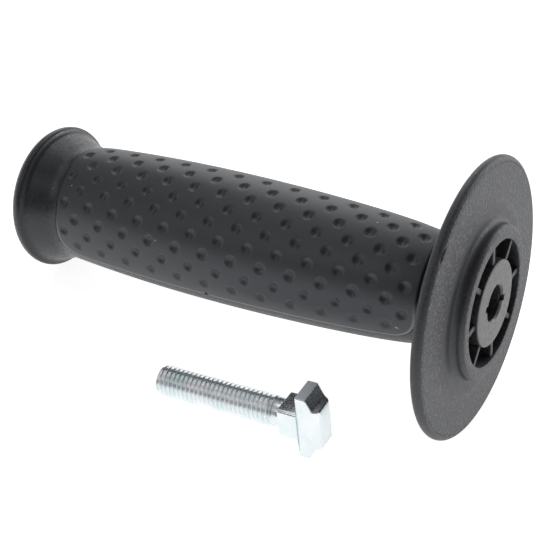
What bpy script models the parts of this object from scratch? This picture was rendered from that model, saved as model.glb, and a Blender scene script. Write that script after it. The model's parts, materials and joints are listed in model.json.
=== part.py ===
# Side handle of a hand-held power tool, with its T-head clamping bolt lying loose beside it.
# Lengths are in metres. +Z is up and the set lies on the plane Z = 0, as both pieces come to rest.
# Stations along the handle count back from the face of its hub, towards the end knob.

import math

import bmesh
import bpy
from mathutils import Matrix
from mathutils import Vector

MM = 0.001

# Gap that separate pieces keep where they seat on each other
SEAT_GAP = 0.3 * MM

# How far a cutter or a joined block runs past the surface that it crosses
OVERRUN = 0.8 * MM
SAME_LENGTH = 0.01 * MM

# Hub, bolt bore and the ring of pockets round the hub
BORE_RADIUS = 4.4 * MM
BORE_DEPTH = 38.0 * MM
BORE_CHAMFER = 0.5 * MM
HUB_RADIUS = 10.7 * MM
FACE_EDGE = 0.4 * MM
POCKET_WIDTH = 4.8 * MM
POCKET_DEPTH = 6.0 * MM
RIB_COUNT = 8
RIB_THICKNESS = 1.3 * MM
RIB_RECESS = 0.55 * MM
NOTCH_REACH = 5.9 * MM
NOTCH_WIDTH = 1.6 * MM
NOTCH_DEPTH = 1.0 * MM
NOTCH_ANGLE = math.radians(75.0)

# Boss round the pockets, and the low collar at its foot
BOSS_WALL = 3.45 * MM
BOSS_RADIUS = HUB_RADIUS + POCKET_WIDTH + BOSS_WALL
BOSS_ROUND = 1.3 * MM
COLLAR_DEPTH = 2.95 * MM
COLLAR_FILLET = 1.5 * MM
COLLAR_WIDTH = 2.3 * MM
COLLAR_SLOPE = 0.7 * MM

# Flange disc that keeps the hand off the tool, with a half-round rim
DISC_FRONT = 3.35 * MM
DISC_THICKNESS = 2.86 * MM
DISC_BACK = DISC_FRONT + DISC_THICKNESS
RIM_RADIUS = 34.5 * MM
RIM_ROUND = DISC_THICKNESS / 2.0
NECK_FILLET = 6.8 * MM

# Grip: radius over the pads, largest at the belly and falling off towards both necks
BELLY_RADIUS = 17.5 * MM
BELLY_STATION = 78.0 * MM
FLANGE_END_FALL = 3.0 * MM
FLANGE_NECK_FALL = 0.8 * MM
KNOB_END_FALL = 1.5 * MM

# Soft pads let into the grip, one on each side
PAD_NECK_GAP = 1.0 * MM
PAD_START = DISC_BACK + NECK_FILLET + PAD_NECK_GAP
PAD_END = 118.9 * MM
PAD_HALF_ANGLE = math.radians(72.6)
PAD_CORNER = 7.0 * MM
PAD_THICKNESS = 2.3 * MM
PAD_PROUD = 0.3 * MM
OUTLINE_DEPTH = 9.0 * MM
PAD_ANGLES = {"grip_pad_front": math.radians(225.0), "grip_pad_rear": math.radians(45.0)}

# Staggered dimples in the pads
DIMPLE_RADIUS = 1.45 * MM
DIMPLE_DEPTH = 0.5 * MM
DIMPLE_LIFT = 0.3 * MM
DIMPLE_INSET = 3.34 * MM
DIMPLE_FIRST = PAD_START + DIMPLE_INSET
DIMPLE_PITCH = 8.234 * MM
DIMPLE_ROWS = 9
DIMPLE_ROWS_ROUND = 26
DIMPLE_SIDES = 8

# End knob: a conical flare that turns up into a rounded lip
KNOB_NECK_GAP = 0.5 * MM
KNOB_NECK_DROP = 0.1 * MM
FLARE_BEND = 8.0 * MM
FLARE_SLOPE = math.radians(21.0)
FLARE_LENGTH = 5.2 * MM
LIP_FILLET = 2.0 * MM
LIP_SLOPE = math.radians(66.0)
LIP_ROUND = 1.1 * MM
KNOB_END_ROUND = 2.8 * MM
KNOB_DOME = 0.6 * MM

# Hexagon nut moulded into the hub, and the bolt that screws into it
NUT_ACROSS_FLATS = 13.0 * MM
NUT_HEIGHT = 6.5 * MM
NUT_STATION = 18.0 * MM
NUT_CHAMFER = 0.6 * MM
THREAD_RADIUS = 3.95 * MM
THREAD_ROOT = 3.32 * MM
THREAD_CHAMFER = 0.8 * MM
THREAD_LENGTH = 33.4 * MM
SHANK_LENGTH = 2.0 * MM
SHANK_RADIUS = 3.7 * MM
NECK_SQUARE = 8.2 * MM
NECK_EDGE = 1.0 * MM
NECK_LENGTH = 4.8 * MM
HEAD_STATION = THREAD_LENGTH + SHANK_LENGTH + NECK_LENGTH
WING_SPAN = 18.2 * MM
WING_WIDTH = 7.4 * MM
WING_THICKNESS = 2.7 * MM
WING_SLOPE_SPAN = 6.3 * MM
WING_SLOPE_HEIGHT = 1.4 * MM
HEAD_END_HEIGHT = 1.6 * MM
HEAD_END_TAPER = 0.5 * MM
HEAD_END_BEVEL = 1.0 * MM
HEAD_EDGE = 0.3 * MM

# Where the loose bolt lies: its thread end, from the point below the hub face, and its heading
BOLT_ALONG = -71.2 * MM
BOLT_ASIDE = -34.8 * MM
BOLT_HEADING = math.radians(2.3)

# Facets
BODY_STEPS = 48
PAD_STEPS = 2 * DIMPLE_ROWS_ROUND
BOLT_STEPS = 28
BODY_STATIONS = 7
OUTLINE_OUTER_STEPS = 12
OUTLINE_INNER_STEPS = 6
CORNER_SEGMENTS = 4
SHARP_ANGLE = math.radians(35.0)


def clear_scene():
    for item in list(bpy.data.objects):
        bpy.data.objects.remove(item, do_unlink=True)


def new_collection(name):
    collection = bpy.data.collections.new(name)
    bpy.context.scene.collection.children.link(collection)
    return collection


def new_material(name, color, roughness, metallic=0.0):
    material = bpy.data.materials.new(name)
    material.use_nodes = True
    shader = material.node_tree.nodes["Principled BSDF"]
    shader.inputs["Base Color"].default_value = (*color, 1.0)
    shader.inputs["Roughness"].default_value = roughness
    shader.inputs["Metallic"].default_value = metallic
    return material


def new_empty(name, parent=None):
    empty = bpy.data.objects.new(name, None)
    empty.empty_display_size = 0.01
    empty.parent = parent
    parts.objects.link(empty)
    return empty


def new_part(name, mesh, parent, material):
    part = bpy.data.objects.new(name, mesh)
    part.parent = parent
    part.data.materials.append(material)
    parts.objects.link(part)
    return part


def new_cutter(name, mesh, parent):
    cutter = bpy.data.objects.new(name, mesh)
    cutter.parent = parent
    cutter.display_type = "WIRE"
    cutter.hide_render = True
    cutters.objects.link(cutter)
    return cutter


def profile_mesh(name, points, closed):
    # Points are (radius, height) pairs that run down the outer side
    verts = [(radius, 0.0, height) for radius, height in points]
    edges = [(i, i + 1) for i in range(len(points) - 1)]
    if closed:
        edges.append((len(points) - 1, 0))
    mesh = bpy.data.meshes.new(name)
    mesh.from_pydata(verts, edges, [])
    return mesh


def turn(item, steps):
    screw = item.modifiers.new("turn", "SCREW")
    screw.axis = "Z"
    screw.angle = 2.0 * math.pi
    screw.steps = steps
    screw.render_steps = steps
    screw.use_merge_vertices = True
    screw.merge_threshold = 0.00001
    return screw


def combine(item, other, operation):
    boolean = item.modifiers.new(other.name, "BOOLEAN")
    boolean.object = other
    boolean.operation = operation
    boolean.solver = "EXACT"
    return boolean


def arc(center_radius, center_height, radius, start, end, segments):
    # Angles count from straight outwards, positive towards the hub face
    points = []
    for i in range(segments + 1):
        angle = start + (end - start) * i / segments
        points.append((center_radius + radius * math.cos(angle), center_height + radius * math.sin(angle)))
    return points


def grip_radius(station):
    # Two falling curves that meet level at the belly
    if station < BELLY_STATION:
        share = (BELLY_STATION - station) / (BELLY_STATION - PAD_START)
        return BELLY_RADIUS - FLANGE_END_FALL * share ** 2 - FLANGE_NECK_FALL * share ** 10
    share = (station - BELLY_STATION) / (PAD_END - BELLY_STATION)
    return BELLY_RADIUS - KNOB_END_FALL * share ** 2


def stations(start, end, count):
    return [start + (end - start) * i / count for i in range(count + 1)]


def hub_profile():
    # Bore floor, bore wall, hub face and the open ring of pockets
    ring_inner = HUB_RADIUS + POCKET_WIDTH
    return [
        (0.0, -BORE_DEPTH),
        (BORE_RADIUS, -BORE_DEPTH),
        (BORE_RADIUS, -BORE_CHAMFER),
        (BORE_RADIUS + BORE_CHAMFER, 0.0),
        (HUB_RADIUS - FACE_EDGE, 0.0),
        (HUB_RADIUS, -FACE_EDGE),
        (HUB_RADIUS, -POCKET_DEPTH),
        (ring_inner, -POCKET_DEPTH),
        (ring_inner, -FACE_EDGE),
        (ring_inner + FACE_EDGE, 0.0),
    ]


def flange_profile(neck_radius):
    # Boss, collar, disc and the fillet that runs into the grip's neck
    quarter = math.pi / 2.0
    points = arc(BOSS_RADIUS - BOSS_ROUND, -BOSS_ROUND, BOSS_ROUND, quarter, 0.0, 3)
    fillet_height = COLLAR_FILLET - COLLAR_DEPTH
    points += arc(BOSS_RADIUS + COLLAR_FILLET, fillet_height, COLLAR_FILLET, 2.0 * quarter, 3.0 * quarter, 2)
    collar_radius = BOSS_RADIUS + COLLAR_FILLET + COLLAR_WIDTH
    points.append((collar_radius, -COLLAR_DEPTH))
    points.append((collar_radius + COLLAR_SLOPE, -DISC_FRONT))
    points += arc(RIM_RADIUS - RIM_ROUND, -DISC_FRONT - RIM_ROUND, RIM_ROUND, quarter, -quarter, 6)
    fillet_center = neck_radius + NECK_FILLET
    points += arc(fillet_center, -DISC_BACK - NECK_FILLET, NECK_FILLET, quarter, 2.0 * quarter, 4)
    return points


def bend(start, heading, new_heading, radius, segments):
    # Arc that leaves its start point at one heading and ends at another.
    # Headings count outwards from straight down the handle.
    side = math.copysign(radius, new_heading - heading)
    points = []
    for angle in stations(heading, new_heading, segments):
        out = start[0] + side * (math.cos(heading) - math.cos(angle))
        down = start[1] - side * (math.sin(angle) - math.sin(heading))
        points.append((out, down))
    return points


def flare_profile():
    # From the knob's neck, just past the pads, out to the widest point of the lip
    neck_radius = grip_radius(PAD_END) - PAD_PROUD - KNOB_NECK_DROP
    points = bend((neck_radius, -PAD_END - KNOB_NECK_GAP), 0.0, FLARE_SLOPE, FLARE_BEND, 2)
    out, down = points[-1]
    lip_foot = (out + FLARE_LENGTH * math.sin(FLARE_SLOPE), down - FLARE_LENGTH * math.cos(FLARE_SLOPE))
    points += bend(lip_foot, FLARE_SLOPE, LIP_SLOPE, LIP_FILLET, 2)
    return points + bend(points[-1], LIP_SLOPE, 0.0, LIP_ROUND, 3)[1:]


def knob_profile():
    # Flare and lip, rounded end and a slightly domed end face
    points = flare_profile()
    points += bend(points[-1], 0.0, -math.pi / 2.0, KNOB_END_ROUND, 3)[1:]
    end_radius, end_height = points[-1]
    points.append((end_radius / 2.0, end_height - KNOB_DOME * 0.75))
    points.append((0.0, end_height - KNOB_DOME))
    return points


def body_profile():
    neck_radius = grip_radius(PAD_START) - PAD_PROUD
    points = hub_profile() + flange_profile(neck_radius)
    for station in stations(PAD_START, PAD_END, BODY_STATIONS)[1:]:
        points.append((grip_radius(station) - PAD_PROUD, -station))
    return points + knob_profile()


def shell_profile(outer_offset, inner_offset, margin):
    # Closed section that follows the grip at two offsets from its surface.
    # Its stations fall between the dimples, so that none lies across a facet's end.
    start = PAD_START - margin
    end = PAD_END + margin
    outer = [start]
    station = DIMPLE_FIRST + DIMPLE_PITCH / 4.0
    while station < end:
        outer.append(station)
        station += DIMPLE_PITCH
    outer.append(end)
    points = [(grip_radius(station) + outer_offset, -station) for station in outer]
    for station in reversed(stations(start, end, BODY_STATIONS)):
        points.append((grip_radius(station) + inner_offset, -station))
    return points


def pad_outline_mesh(name, clearance):
    # Sector of a thick ring, with round corners where its ends meet its sides
    half = PAD_HALF_ANGLE + clearance / BELLY_RADIUS
    outer = BELLY_RADIUS + OUTLINE_DEPTH
    inner = BELLY_RADIUS - OUTLINE_DEPTH
    top = clearance - PAD_START
    bottom = -clearance - PAD_END
    mesh = bmesh.new()
    ring = []
    arcs = ((outer, -half, half, OUTLINE_OUTER_STEPS), (inner, half, -half, OUTLINE_INNER_STEPS))
    for radius, start, end, count in arcs:
        for angle in stations(start, end, count):
            ring.append(mesh.verts.new((radius * math.cos(angle), radius * math.sin(angle), bottom)))
    face = mesh.faces.new(ring)
    lifted = bmesh.ops.extrude_face_region(mesh, geom=[face])["geom"]
    moved = [item for item in lifted if isinstance(item, bmesh.types.BMVert)]
    bmesh.ops.translate(mesh, verts=moved, vec=Vector((0.0, 0.0, top - bottom)))
    bmesh.ops.recalc_face_normals(mesh, faces=mesh.faces)
    corners = [edge for edge in mesh.edges if is_side_end(edge, outer - inner)]
    bmesh.ops.bevel(
        mesh,
        geom=corners,
        offset=PAD_CORNER + clearance,
        segments=CORNER_SEGMENTS,
        profile=0.5,
        affect="EDGES",
    )
    return finished_mesh(mesh, name)


def is_side_end(edge, length):
    # The straight edges between a side wall and an end wall
    level = abs(edge.verts[0].co.z - edge.verts[1].co.z) < SAME_LENGTH
    return level and abs(edge.calc_length() - length) < SAME_LENGTH


def finished_mesh(work, name):
    mesh = bpy.data.meshes.new(name)
    work.to_mesh(mesh)
    work.free()
    return mesh


def dimple_mesh(name):
    # Shallow cups in staggered rows, centred on the pad's middle line.
    # Each is a flat cone with its wide end above the surface, where its rim has the dimple's radius.
    work = bmesh.new()
    row_step = 2.0 * math.pi / DIMPLE_ROWS_ROUND
    for row in range(DIMPLE_ROWS):
        angle = (row - (DIMPLE_ROWS - 1) / 2.0) * row_step
        shift = DIMPLE_PITCH / 2.0 if row % 2 == 0 else 0.0
        station = DIMPLE_FIRST + shift
        while station < PAD_END - DIMPLE_RADIUS:
            middle = grip_radius(station) + (DIMPLE_LIFT - DIMPLE_DEPTH) / 2.0
            place = Matrix.Rotation(angle, 4, "Z") @ Matrix.Translation((middle, 0.0, -station))
            bmesh.ops.create_cone(
                work,
                cap_ends=True,
                segments=DIMPLE_SIDES,
                radius1=0.0,
                radius2=DIMPLE_RADIUS * (DIMPLE_DEPTH + DIMPLE_LIFT) / DIMPLE_DEPTH,
                depth=DIMPLE_DEPTH + DIMPLE_LIFT,
                matrix=place @ Matrix.Rotation(math.pi / 2.0, 4, "Y"),
            )
            station += DIMPLE_PITCH
    return finished_mesh(work, name)


def rib_mesh(name):
    # Spokes from inside the hub to inside the ring, down into the pocket floor
    work = bmesh.new()
    inner = HUB_RADIUS - OVERRUN
    outer = HUB_RADIUS + POCKET_WIDTH + OVERRUN
    bottom = POCKET_DEPTH + OVERRUN
    size = Vector((outer - inner, RIB_THICKNESS, bottom - RIB_RECESS))
    place = Matrix.Translation(((outer + inner) / 2.0, 0.0, -(bottom + RIB_RECESS) / 2.0))
    for i in range(RIB_COUNT):
        spin = Matrix.Rotation(2.0 * math.pi * i / RIB_COUNT, 4, "Z")
        bmesh.ops.create_cube(work, size=1.0, matrix=spin @ place @ Matrix.Diagonal((*size, 1.0)))
    return finished_mesh(work, name)


def block_mesh(name, size, center):
    work = bmesh.new()
    place = Matrix.Translation(center) @ Matrix.Diagonal((*size, 1.0))
    bmesh.ops.create_cube(work, size=1.0, matrix=place)
    return finished_mesh(work, name)


def hexagon_mesh(name, across_flats, top, bottom):
    work = bmesh.new()
    corner = across_flats / 2.0 / math.cos(math.pi / 6.0)
    bmesh.ops.create_cone(
        work,
        cap_ends=True,
        segments=6,
        radius1=corner,
        radius2=corner,
        depth=top - bottom,
        matrix=Matrix.Translation((0.0, 0.0, (top + bottom) / 2.0)),
    )
    return finished_mesh(work, name)


def bevel(item, width, segments=1):
    modifier = item.modifiers.new("edges", "BEVEL")
    modifier.width = width
    modifier.segments = segments
    modifier.limit_method = "ANGLE"
    modifier.angle_limit = math.radians(30.0)
    return modifier


def build_body(parent):
    body = new_part("handle_body", profile_mesh("handle_body", body_profile(), False), parent, body_plastic)
    turn(body, BODY_STEPS)
    ribs = new_cutter("ribs", rib_mesh("ribs"), parent)
    combine(body, ribs, "UNION")
    for name, angle in PAD_ANGLES.items():
        combine(body, build_seat(name + "_seat", angle, parent), "DIFFERENCE")
    nut_top = SEAT_GAP - NUT_STATION
    nut_bottom = -NUT_STATION - NUT_HEIGHT - SEAT_GAP
    pocket_mesh = hexagon_mesh("nut_pocket", NUT_ACROSS_FLATS + 2.0 * SEAT_GAP, nut_top, nut_bottom)
    combine(body, new_cutter("nut_pocket", pocket_mesh, parent), "DIFFERENCE")
    notch_size = (2.0 * NOTCH_REACH, NOTCH_WIDTH, 2.0 * NOTCH_DEPTH)
    notches = new_cutter("bore_notches", block_mesh("bore_notches", notch_size, (0.0, 0.0, 0.0)), parent)
    notches.rotation_euler.z = NOTCH_ANGLE
    combine(body, notches, "DIFFERENCE")
    return body


def build_seat(name, angle, parent):
    # The recess is open outwards and keeps the seating gap round its pad
    profile = shell_profile(OVERRUN, -PAD_THICKNESS - SEAT_GAP, 2.0 * OVERRUN)
    seat = new_cutter(name, profile_mesh(name, profile, True), parent)
    seat.rotation_euler.z = angle
    turn(seat, PAD_STEPS)
    outline = new_cutter(name + "_outline", pad_outline_mesh(name + "_outline", SEAT_GAP), parent)
    outline.rotation_euler.z = angle
    combine(seat, outline, "INTERSECT")
    return seat


def build_pad(name, angle, parent):
    mesh = profile_mesh(name, shell_profile(0.0, -PAD_THICKNESS, OVERRUN), True)
    pad = new_part(name, mesh, parent, pad_rubber)
    pad.rotation_euler.z = angle
    turn(pad, PAD_STEPS)
    outline = new_cutter(name + "_outline", pad_outline_mesh(name + "_outline", 0.0), parent)
    outline.rotation_euler.z = angle
    combine(pad, outline, "INTERSECT")
    dimples = new_cutter(name + "_dimples", dimple_mesh(name + "_dimples"), parent)
    dimples.rotation_euler.z = angle
    combine(pad, dimples, "DIFFERENCE")
    return pad


def build_nut(parent):
    top = -NUT_STATION
    bottom = top - NUT_HEIGHT
    mesh = hexagon_mesh("captive_nut", NUT_ACROSS_FLATS, top, bottom)
    nut = new_part("captive_nut", mesh, parent, zinc_dull)
    mouth = THREAD_ROOT + NUT_CHAMFER
    bore_points = [
        (0.0, top + OVERRUN),
        (mouth + OVERRUN, top + OVERRUN),
        (mouth, top),
        (THREAD_ROOT, top - NUT_CHAMFER),
        (THREAD_ROOT, bottom + NUT_CHAMFER),
        (mouth, bottom),
        (mouth + OVERRUN, bottom - OVERRUN),
        (0.0, bottom - OVERRUN),
    ]
    bore = new_cutter("nut_bore", profile_mesh("nut_bore", bore_points, False), parent)
    turn(bore, BOLT_STEPS)
    combine(nut, bore, "DIFFERENCE")
    return nut


def head_mesh(name):
    # Loft through rectangles: flat wings, sloped shoulders, and an end bevelled on its long sides
    slope_top = WING_THICKNESS + WING_SLOPE_HEIGHT
    slope_span = WING_SPAN - WING_SLOPE_SPAN
    end_width = WING_WIDTH - 2.0 * HEAD_END_BEVEL
    sections = [
        (0.0, WING_SPAN, WING_WIDTH),
        (WING_THICKNESS, WING_SPAN, WING_WIDTH),
        (slope_top, slope_span, WING_WIDTH),
        (slope_top + HEAD_END_HEIGHT, slope_span - HEAD_END_TAPER, end_width),
    ]
    work = bmesh.new()
    rings = []
    for height, span, width in sections:
        corners = ((1, 1), (-1, 1), (-1, -1), (1, -1))
        points = [(a * span / 2.0, b * width / 2.0, HEAD_STATION + height) for a, b in corners]
        rings.append([work.verts.new(point) for point in points])
    for lower, upper in zip(rings, rings[1:]):
        for i in range(4):
            j = (i + 1) % 4
            work.faces.new((lower[i], lower[j], upper[j], upper[i]))
    work.faces.new(list(reversed(rings[0])))
    work.faces.new(rings[-1])
    return finished_mesh(work, name)


def build_bolt(parent):
    neck_start = HEAD_STATION - NECK_LENGTH
    shank_points = [
        (0.0, neck_start + OVERRUN),
        (SHANK_RADIUS, neck_start + OVERRUN),
        (SHANK_RADIUS, THREAD_LENGTH + THREAD_RADIUS - SHANK_RADIUS),
        (THREAD_RADIUS, THREAD_LENGTH),
        (THREAD_RADIUS, THREAD_CHAMFER),
        (THREAD_RADIUS - THREAD_CHAMFER, 0.0),
        (0.0, 0.0),
    ]
    bolt = new_part("t_bolt", profile_mesh("t_bolt", shank_points, False), parent, zinc_bright)
    turn(bolt, BOLT_STEPS)
    into_head = NECK_EDGE + OVERRUN
    neck_size = (NECK_SQUARE, NECK_SQUARE, NECK_LENGTH + into_head)
    neck_center = (0.0, 0.0, HEAD_STATION - (NECK_LENGTH - into_head) / 2.0)
    neck = new_cutter("bolt_neck", block_mesh("bolt_neck", neck_size, neck_center), parent)
    bevel(neck, NECK_EDGE, 2)
    combine(bolt, neck, "UNION")
    head = new_cutter("bolt_head", head_mesh("bolt_head"), parent)
    bevel(head, HEAD_EDGE)
    combine(bolt, head, "UNION")
    return bolt


def rest_tilt():
    # The handle lies on its flange's half-round rim and on the round of its knob:
    # the tilt of the line that touches both circles from below
    lip_radius, lip_height = flare_profile()[-1]
    drop = RIM_RADIUS - RIM_ROUND - (lip_radius - KNOB_END_ROUND)
    run = -lip_height - (DISC_BACK - RIM_ROUND)
    return math.atan2(drop, run) - math.asin((KNOB_END_ROUND - RIM_ROUND) / math.hypot(drop, run))


def place_handle(axis):
    tilt = rest_tilt()
    rise = (RIM_RADIUS - RIM_ROUND) * math.cos(tilt) + (DISC_BACK - RIM_ROUND) * math.sin(tilt) + RIM_ROUND
    axis.location = (0.0, 0.0, rise)
    axis.rotation_euler = (0.0, math.pi / 2.0 - tilt, 0.0)


def place_bolt(axis):
    # The bolt lies on the rim of its thread end and on the end of its lower wing
    run = HEAD_STATION + HEAD_EDGE - THREAD_CHAMFER
    tilt = math.atan2(WING_SPAN / 2.0 - THREAD_RADIUS, run)
    rise = THREAD_RADIUS * math.cos(tilt) - THREAD_CHAMFER * math.sin(tilt)
    axis.location = (BOLT_ALONG, BOLT_ASIDE, rise)
    axis.rotation_euler = (0.0, math.pi / 2.0 - tilt, BOLT_HEADING)


def shade_round(part):
    # Keeps the worked shape as the part's own mesh, smooth but for its real edges
    graph = bpy.context.evaluated_depsgraph_get()
    mesh = bpy.data.meshes.new_from_object(part.evaluated_get(graph))
    part.modifiers.clear()
    part.data = mesh
    mesh.shade_smooth()
    mesh.set_sharp_from_angle(angle=SHARP_ANGLE)


def centre_set(root, members):
    # The origin goes below the middle of the set's bounding box, on the resting plane
    bpy.context.view_layer.update()
    corners = [part.matrix_world @ vertex.co for part in members for vertex in part.data.vertices]
    low = Vector([min(corner[i] for corner in corners) for i in range(3)])
    high = Vector([max(corner[i] for corner in corners) for i in range(3)])
    root.location = (-(low.x + high.x) / 2.0, -(low.y + high.y) / 2.0, -low.z)
    bpy.context.view_layer.update()


clear_scene()
parts = new_collection("power_tool_side_handle")
cutters = new_collection("cutters")

body_plastic = new_material("body_plastic", (0.045, 0.046, 0.049), 0.5)
pad_rubber = new_material("pad_rubber", (0.030, 0.031, 0.034), 0.7)
zinc_bright = new_material("zinc_bright", (0.72, 0.75, 0.76), 0.25, 1.0)
zinc_dull = new_material("zinc_dull", (0.55, 0.57, 0.58), 0.4, 1.0)

set_origin = new_empty("set_origin")
handle_axis = new_empty("handle_axis", set_origin)
bolt_axis = new_empty("bolt_axis", set_origin)
place_handle(handle_axis)
place_bolt(bolt_axis)

members = [build_body(handle_axis)]
for pad_name, pad_angle in PAD_ANGLES.items():
    members.append(build_pad(pad_name, pad_angle, handle_axis))
members.append(build_nut(handle_axis))
members.append(build_bolt(bolt_axis))
bpy.context.view_layer.update()

for member in members:
    shade_round(member)
centre_set(set_origin, members)
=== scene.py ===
import json
import math

import bpy
import numpy as np
from mathutils import Matrix, Vector


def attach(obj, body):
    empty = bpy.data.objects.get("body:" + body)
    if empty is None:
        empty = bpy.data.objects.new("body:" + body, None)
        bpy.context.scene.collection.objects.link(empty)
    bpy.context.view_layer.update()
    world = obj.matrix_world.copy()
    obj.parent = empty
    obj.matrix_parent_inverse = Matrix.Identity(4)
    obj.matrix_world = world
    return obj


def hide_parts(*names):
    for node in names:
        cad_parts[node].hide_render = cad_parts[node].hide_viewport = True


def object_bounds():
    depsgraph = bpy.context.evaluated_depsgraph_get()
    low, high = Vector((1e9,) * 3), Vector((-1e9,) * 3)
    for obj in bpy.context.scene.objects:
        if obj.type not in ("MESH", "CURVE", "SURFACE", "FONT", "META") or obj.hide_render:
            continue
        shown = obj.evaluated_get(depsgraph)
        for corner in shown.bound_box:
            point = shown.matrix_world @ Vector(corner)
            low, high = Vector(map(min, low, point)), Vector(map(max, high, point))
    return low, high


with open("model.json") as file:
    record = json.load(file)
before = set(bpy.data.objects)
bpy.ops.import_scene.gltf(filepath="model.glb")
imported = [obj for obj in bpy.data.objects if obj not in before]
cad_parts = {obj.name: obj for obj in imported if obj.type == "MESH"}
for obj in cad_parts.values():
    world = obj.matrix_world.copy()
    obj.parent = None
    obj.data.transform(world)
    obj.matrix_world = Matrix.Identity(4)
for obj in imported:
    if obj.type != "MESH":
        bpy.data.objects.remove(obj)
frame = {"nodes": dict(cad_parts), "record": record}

# Looks of a power tool side handle and its loose T-head bolt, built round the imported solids.
# The dictionaries hold millimetres and degrees; the meshes are in metres.

mm = 0.001
farAway = 1e9                   # more than any distance on the part
cadLow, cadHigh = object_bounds()
mounts = {mount["name"]: mount for mount in frame["record"]["mounts"]}
print("frame loaded:", ", ".join(sorted(frame["nodes"])))


# Where the two things lie, read from the frame's mounts

placing = {
    "hubMountRadius": 7.6,      # from the handle's axis to the hub mount's point
    "seatMountRadius": 6.3,     # from the bolt's axis to the head mount's point
    "seatMountStation": 40.2,   # from the bolt's thread end to the head's underside
}


def axesMatrix(origin, axis):
    # Columns: the way down square to the axis, the level sideways direction, the axis itself
    sideways = Vector((0.0, 0.0, 1.0)).cross(axis).normalized()
    down = sideways.cross(axis).normalized()
    matrix = Matrix((down, sideways, axis)).transposed().to_4x4()
    matrix.translation = origin
    return matrix


def handlePlace():
    axis = Vector(mounts["hub_face"]["axis"]).normalized()
    turned = axesMatrix(Vector(), axis)
    point = Vector(mounts["hub_face"]["pos_m"])
    offset = Vector((-placing["hubMountRadius"] * mm, 0.0, 0.0))
    turned.translation = point - turned.to_3x3() @ offset
    return turned


def boltPlace():
    axis = -Vector(mounts["bolt_head_seat"]["axis"]).normalized()
    turned = axesMatrix(Vector(), axis)
    point = Vector(mounts["bolt_head_seat"]["pos_m"])
    offset = Vector((placing["seatMountRadius"] * mm, 0.0, placing["seatMountStation"] * mm))
    turned.translation = point - turned.to_3x3() @ offset
    return turned


handleMatrix = handlePlace()
boltMatrix = boltPlace()
hubCentre = handleMatrix.translation


# Meshes from grids of points

def gridQuads(rows, columns, wrapped, shift=0):
    # Quads between neighbouring rows and columns. A wrapped grid joins its last column to its
    # first, a number of rows further on when the grid climbs like a thread
    row = np.arange(rows - 1 - shift)[:, None]
    column = np.arange(columns if wrapped else columns - 1)[None, :]
    nextColumn = (column + 1) % columns
    climb = np.where(column + 1 == columns, shift, 0)
    corners = [
        row * columns + column,
        (row + climb) * columns + nextColumn,
        (row + climb + 1) * columns + nextColumn,
        (row + 1) * columns + column,
    ]
    shape = corners[1].shape
    return np.stack([np.broadcast_to(corner, shape) for corner in corners], -1).reshape(-1, 4)


def weld(points, quads, distance=0.001 * mm):
    # Points in the same cell of a very fine lattice become one. A quad that loses one corner
    # becomes a triangle, and one that loses more is dropped
    cells = np.round(points / distance).astype(np.int64)
    _, first, places = np.unique(cells, axis=0, return_index=True, return_inverse=True)
    quads = places.reshape(-1)[quads]
    same = quads == np.roll(quads, -1, axis=1)
    crossed = (quads[:, 0] == quads[:, 2]) | (quads[:, 1] == quads[:, 3])
    lost = same.sum(axis=1)
    whole = quads[(lost == 0) & ~crossed]
    pinched = (lost == 1) & ~crossed
    start = np.argmax(same[pinched], axis=1)[:, None]
    triangles = np.take_along_axis(quads[pinched], (start + np.array([[1, 2, 3]])) % 4, axis=1)
    return points[first], whole, triangles


def makePiece(name, points, faces, place, sharpAngle, material):
    # One object at the origin, its place in its mesh, smooth but for edges past the sharp angle
    mesh = bpy.data.meshes.new(name)
    mesh.from_pydata(points.tolist(), [], faces)
    mesh.validate()
    mesh.transform(place)
    mesh.shade_smooth()
    mesh.set_sharp_from_angle(angle=math.radians(sharpAngle))
    mesh.materials.append(material)
    piece = bpy.data.objects.new(name, mesh)
    bpy.context.scene.collection.objects.link(piece)
    print(name, "has", sum(len(face) - 2 for face in faces), "triangles")
    return piece


def roundPoints(radius, angle, station):
    # Cylinder coordinates in millimetres and degrees to points; stations count back from z = 0
    turned = np.radians(angle)
    points = np.stack([radius * np.cos(turned), radius * np.sin(turned), -station], -1)
    return points.reshape(-1, 3) * mm


def arcPoints(centreRadius, centreStation, radius, start, end, count):
    # Points on a circle in the section plane; angles count from straight out towards the hub face
    angle = np.radians(np.linspace(start, end, count))
    out = centreRadius + radius * np.cos(angle)
    return np.stack([out, centreStation - radius * np.sin(angle)], -1)


def bendPoints(radius, station, heading, newHeading, bend, count):
    # An arc that leaves its start at one heading and ends at another, counted in degrees outwards
    # from straight along the handle
    side = math.copysign(bend, newHeading - heading)
    angle = np.radians(np.linspace(heading, newHeading, count))
    out = radius + side * (math.cos(angle[0]) - np.cos(angle))
    return np.stack([out, station + side * (np.sin(angle) - math.sin(angle[0]))], -1)


def line(start, end, count):
    # Evenly spaced points from one to the other
    return np.linspace(start, end, count)


# The grip's swelling surface and the outline of the pads on it

grip = {
    "bellyRadius": 17.5,
    "bellyStation": 78.0,
    "flangeEndFall": 3.0,
    "flangeNeckFall": 0.8,
    "flangeNeckPower": 10,      # how late the neck's fall sets in
    "knobEndFall": 1.5,
    "padStart": 14.01,
    "padEnd": 118.9,
    "padHalfAngle": 72.6,
    "padCorner": 7.0,
    "padProud": 0.3,
    "padThickness": 2.3,
}
padCentres = {"grip_pad_front": 225.0, "grip_pad_rear": 45.0}


def gripRadius(station):
    # Two falling curves that meet level at the belly
    belly = grip["bellyStation"]
    towardsHub = np.clip((belly - station) / (belly - grip["padStart"]), 0.0, None)
    towardsKnob = np.clip((station - belly) / (grip["padEnd"] - belly), 0.0, None)
    neckFall = grip["flangeNeckFall"] * towardsHub ** grip["flangeNeckPower"]
    fall = grip["flangeEndFall"] * towardsHub ** 2 + neckFall
    return grip["bellyRadius"] - fall - grip["knobEndFall"] * towardsKnob ** 2


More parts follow.
